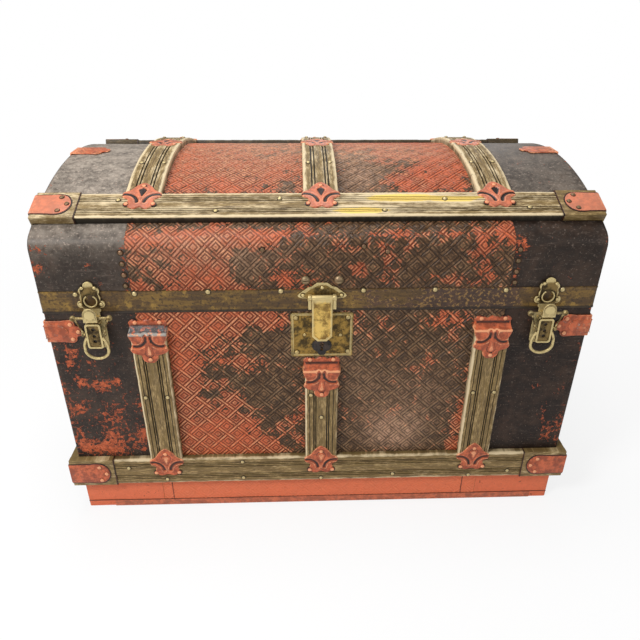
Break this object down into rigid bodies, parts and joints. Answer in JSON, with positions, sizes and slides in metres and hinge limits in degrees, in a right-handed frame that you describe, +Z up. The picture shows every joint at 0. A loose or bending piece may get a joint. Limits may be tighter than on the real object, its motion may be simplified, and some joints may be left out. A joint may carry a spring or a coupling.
{
  "type": "dome top trunk",
  "caption": "Dome top storage trunk: tin-skinned wooden box and hinged lid, bound with grooved slats and stamped clasps, with hasp lock, drawbolts and leather end handles.",
  "frame": {"origin": "middle of the base, where the bottom board meets the floor", "axes": "+X along the trunk, to the right as seen from the front; -Y out of the front; +Z up"},
  "size_m": [0.8528, 0.5346, 0.5726],
  "materials": {
    "pine": "bare sawn pine",
    "slat_wood": "olive-gold paint worn to the wood",
    "embossed_tin": "stamped weave, black paint worn to red",
    "black_tin": "plain sheet, worn black paint",
    "red_tin": "stamped sheet, worn orange-red paint",
    "gold_tin": "worn gold and brown paint",
    "brass": "brushed, tarnished",
    "antique_brass": "antique, rubbed bright at the edges",
    "iron": "dark, smooth",
    "leather": "dark brown, worn"
  },
  "bodies": {
    "trunk_body": {"front_board": "pine", "back_board": "pine", "left_end_board": "pine", "right_end_board": "pine", "bottom_board": "pine", "dust_lip": "pine", "body_front_sheet": "embossed_tin", "body_back_sheet": "black_tin", "left_end_sheet": "black_tin", "right_end_sheet": "black_tin", "bottom_edge_strip": "red_tin", "bottom_clamp_left": "red_tin", "bottom_clamp_right": "red_tin", "handle_cap_front_left": "red_tin", "handle_cap_back_left": "red_tin", "handle_cap_front_right": "red_tin", "handle_cap_back_right": "red_tin", "front_slat_left": "slat_wood", "front_slat_middle": "slat_wood", "front_slat_right": "slat_wood", "bottom_slat_front": "slat_wood", "bottom_slat_left": "slat_wood", "bottom_slat_right": "slat_wood", "bottom_slat_back": "slat_wood", "lock_plate": "brass", "drawbolt_base_left": "antique_brass", "drawbolt_base_right": "antique_brass", "keyhole_escutcheon": "iron", "lock_case": "iron", "hinge_lower_leaf_left": "iron", "hinge_lower_leaf_right": "iron"},
    "lid": {"lid_front_board": "pine", "lid_back_board": "pine", "lid_left_end_panel": "pine", "lid_right_end_panel": "pine", "dome_shell": "pine", "lid_middle_sheet": "embossed_tin", "lid_left_sheet": "black_tin", "lid_right_sheet": "black_tin", "lid_edge_band": "gold_tin", "shoulder_slat_front": "slat_wood", "shoulder_slat_back": "slat_wood", "shoulder_clamp_left": "red_tin", "shoulder_clamp_right": "red_tin", "cross_slat_left": "slat_wood", "cross_slat_middle": "slat_wood", "cross_slat_right": "slat_wood", "hasp_plate": "antique_brass", "drawbolt_keeper_left": "antique_brass", "drawbolt_keeper_right": "antique_brass", "hinge_upper_leaf_left": "iron", "hinge_upper_leaf_right": "iron"},
    "hasp": {"hasp": "brass"},
    "lock_bolt": {"lock_bolt": "brass"},
    "drawbolt_lever_left": {"drawbolt_lever_left": "antique_brass"},
    "drawbolt_link_left": {"drawbolt_link_left": "antique_brass"},
    "leather_handle_left": {"leather_handle_left": "leather"},
    "drawbolt_lever_right": {"drawbolt_lever_right": "antique_brass"},
    "drawbolt_link_right": {"drawbolt_link_right": "antique_brass"},
    "leather_handle_right": {"leather_handle_right": "leather"}
  },
  "joints": [
    {"name": "lid_hinge", "type": "hinge", "parent": "trunk_body", "child": "lid", "pos_m": [0, 0.2591, 0.385], "axis": [-1, 0, 0], "range_deg": [0, 100]},
    {"name": "hasp_hinge", "type": "hinge", "parent": "lid", "child": "hasp", "pos_m": [0, -0.2585, 0.41], "axis": [-1, 0, 0], "range_deg": [0, 160]},
    {"name": "drawbolt_lever_left_hinge", "type": "hinge", "parent": "trunk_body", "child": "drawbolt_lever_left", "pos_m": [-0.3335, -0.26, 0.372], "axis": [-1, 0, 0], "range_deg": [0, 90]},
    {"name": "drawbolt_link_left_hinge", "type": "hinge", "parent": "drawbolt_lever_left", "child": "drawbolt_link_left", "pos_m": [-0.3335, -0.2651, 0.358], "axis": [-1, 0, 0], "range_deg": [-54, 0]},
    {"name": "drawbolt_lever_right_hinge", "type": "hinge", "parent": "trunk_body", "child": "drawbolt_lever_right", "pos_m": [0.3335, -0.26, 0.372], "axis": [-1, 0, 0], "range_deg": [0, 90]},
    {"name": "drawbolt_link_right_hinge", "type": "hinge", "parent": "drawbolt_lever_right", "child": "drawbolt_link_right", "pos_m": [0.3335, -0.2651, 0.358], "axis": [-1, 0, 0], "range_deg": [-54, 0]},
    {"name": "handle_left_hinge", "type": "hinge", "parent": "trunk_body", "child": "leather_handle_left", "pos_m": [-0.4166, 0, 0.262], "axis": [0, 1, 0], "range_deg": [0, 100]},
    {"name": "handle_right_hinge", "type": "hinge", "parent": "trunk_body", "child": "leather_handle_right", "pos_m": [0.4166, 0, 0.262], "axis": [0, -1, 0], "range_deg": [0, 100]},
    {"name": "lock_bolt_slide", "type": "slide", "parent": "trunk_body", "child": "lock_bolt", "axis": [-1, 0, 0], "range_m": [0, 0.01]}
  ],
  "couplings": [
    {"joint": "drawbolt_link_left_hinge", "follows": "drawbolt_lever_left_hinge", "ratio": -0.6},
    {"joint": "drawbolt_link_right_hinge", "follows": "drawbolt_lever_right_hinge", "ratio": -0.6}
  ]
}
